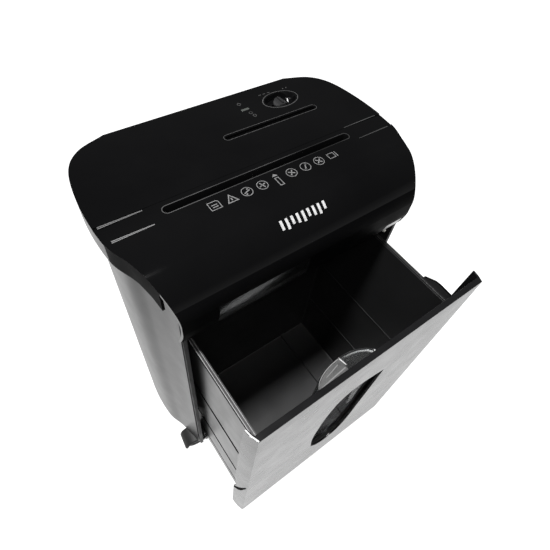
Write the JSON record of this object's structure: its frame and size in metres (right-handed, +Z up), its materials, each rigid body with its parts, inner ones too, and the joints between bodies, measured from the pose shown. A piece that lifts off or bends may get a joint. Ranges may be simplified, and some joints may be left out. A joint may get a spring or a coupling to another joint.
{
  "type": "paper shredder",
  "caption": "Office paper shredder on casters: cutting head with a paper slot and a disc slot over a barrel-sided body and a pull-out bin.",
  "frame": {"origin": "on the floor below the middle of the machine as it stands with its bin drawn about 100 mm out", "axes": "+Z up, -Y towards the user and out of the bin's front, +X to the user's right"},
  "size_m": [0.3554, 0.3354, 0.515],
  "materials": {
    "gloss_black": "high-gloss black ABS",
    "satin_black": "fine satin black plastic",
    "bin_black": "semi-gloss black plastic",
    "clear": "clear polystyrene",
    "lamp": "translucent light pipe",
    "steel": "ground steel",
    "zinc": "zinc-plated sheet",
    "bronze": "sintered bronze",
    "nylon": "natural nylon",
    "board": "circuit laminate",
    "tyre": "hard rubber"
  },
  "bodies": {
    "housing": {"back_bush_left": "bronze", "back_bush_right": "bronze", "back_feed_guide": "satin_black", "back_scraper": "zinc", "back_wall": "gloss_black", "base_plate": "satin_black", "cable_gland": "satin_black", "capacitor": "satin_black", "circuit_board": "board", "control_bezel": "satin_black", "disc_ramp": "satin_black", "frame_screw_1": "steel", "frame_screw_2": "steel", "frame_screw_3": "steel", "frame_screw_4": "steel", "front_bush_left": "bronze", "front_bush_right": "bronze", "front_feed_guide": "satin_black", "front_scraper": "zinc", "head_cover": "gloss_black", "head_tray": "satin_black", "idler_pin": "steel", "indicator_lens": "lamp", "left_frame_plate": "zinc", "left_runner": "satin_black", "left_side_wall": "gloss_black", "motor_can": "zinc", "motor_end_cap": "satin_black", "right_frame_plate": "zinc", "right_runner": "satin_black", "right_side_wall": "gloss_black", "safety_switch": "satin_black", "sensor_pin": "steel", "tie_rod_1": "steel", "tie_rod_2": "steel", "tie_rod_3": "steel", "tie_rod_4": "steel"},
    "drawer": {"bin": "bin_black", "front_panel": "gloss_black", "clear_pocket": "clear"},
    "control_switch": {"control_switch": "satin_black"},
    "sensor_lever": {"sensor_lever": "nylon"},
    "front_cutter": {"front_cutter": "steel", "front_timing_gear": "steel"},
    "back_cutter": {"back_cutter": "steel", "back_timing_gear": "steel", "drive_gear": "nylon"},
    "idler": {"idler_gear": "nylon"},
    "motor_rotor": {"motor_rotor": "steel", "motor_pinion": "steel"},
    "safety_plunger": {"safety_plunger": "nylon"},
    "caster_front_left": {"caster_fork_front_left": "satin_black"},
    "wheel_front_left": {"caster_wheel_front_left": "tyre"},
    "caster_front_right": {"caster_fork_front_right": "satin_black"},
    "wheel_front_right": {"caster_wheel_front_right": "tyre"},
    "caster_back_left": {"caster_fork_back_left": "satin_black"},
    "wheel_back_left": {"caster_wheel_back_left": "tyre"},
    "caster_back_right": {"caster_fork_back_right": "satin_black"},
    "wheel_back_right": {"caster_wheel_back_right": "tyre"}
  },
  "joints": [
    {"name": "drawer_slide", "type": "slide", "parent": "housing", "child": "drawer", "axis": [0, -1, 0], "range_m": [-0.0995, 0.06]},
    {"name": "control_slide", "type": "slide", "parent": "housing", "child": "control_switch", "axis": [1, 0, 0], "range_m": [-0.0065, 0.0065]},
    {"name": "sensor_hinge", "type": "hinge", "parent": "housing", "child": "sensor_lever", "pos_m": [0, 0.0288, 0.4925], "axis": [1, 0, 0], "range_deg": [-25, 0], "stiffness_Nm_per_rad": 0.002},
    {"name": "back_cutter_spin", "type": "hinge", "parent": "housing", "child": "back_cutter", "pos_m": [0, 0.056, 0.468], "axis": [1, 0, 0], "continuous": true},
    {"name": "front_cutter_spin", "type": "hinge", "parent": "housing", "child": "front_cutter", "pos_m": [0, 0.025, 0.468], "axis": [1, 0, 0], "continuous": true},
    {"name": "idler_spin", "type": "hinge", "parent": "housing", "child": "idler", "pos_m": [0, 0.08268, 0.46135], "axis": [1, 0, 0], "continuous": true},
    {"name": "rotor_spin", "type": "hinge", "parent": "housing", "child": "motor_rotor", "pos_m": [0, 0.10659, 0.46344], "axis": [1, 0, 0], "continuous": true},
    {"name": "plunger_slide", "type": "slide", "parent": "housing", "child": "safety_plunger", "axis": [1, 0, 0], "range_m": [0, 0.0018], "stiffness_N_per_m": 150},
    {"name": "caster_front_left_swivel", "type": "hinge", "parent": "housing", "child": "caster_front_left", "pos_m": [-0.137, -0.022, 0.042], "axis": [0, 0, 1], "continuous": true},
    {"name": "wheel_front_left_spin", "type": "hinge", "parent": "caster_front_left", "child": "wheel_front_left", "pos_m": [-0.15086, -0.02005, 0.0152], "axis": [-0.1392, -0.9903, 0], "continuous": true},
    {"name": "caster_front_right_swivel", "type": "hinge", "parent": "housing", "child": "caster_front_right", "pos_m": [0.137, -0.022, 0.042], "axis": [0, 0, 1], "continuous": true},
    {"name": "wheel_front_right_spin", "type": "hinge", "parent": "caster_front_right", "child": "wheel_front_right", "pos_m": [0.144, -0.00988, 0.0152], "axis": [-0.866, 0.5, 0], "continuous": true},
    {"name": "caster_back_left_swivel", "type": "hinge", "parent": "housing", "child": "caster_back_left", "pos_m": [-0.12, 0.122, 0.042], "axis": [0, 0, 1], "continuous": true},
    {"name": "wheel_back_left_spin", "type": "hinge", "parent": "caster_back_left", "child": "wheel_back_left", "pos_m": [-0.11638, 0.13552, 0.0152], "axis": [-0.9659, 0.2588, 0], "continuous": true},
    {"name": "caster_back_right_swivel", "type": "hinge", "parent": "housing", "child": "caster_back_right", "pos_m": [0.12, 0.122, 0.042], "axis": [0, 0, 1], "continuous": true},
    {"name": "wheel_back_right_spin", "type": "hinge", "parent": "caster_back_right", "child": "wheel_back_right", "pos_m": [0.11757, 0.13579, 0.0152], "axis": [-0.9848, -0.1736, 0], "continuous": true}
  ],
  "couplings": [
    {"joint": "front_cutter_spin", "follows": "back_cutter_spin", "ratio": -1},
    {"joint": "idler_spin", "follows": "back_cutter_spin", "ratio": -2.6667},
    {"joint": "rotor_spin", "follows": "back_cutter_spin", "ratio": 8}
  ]
}
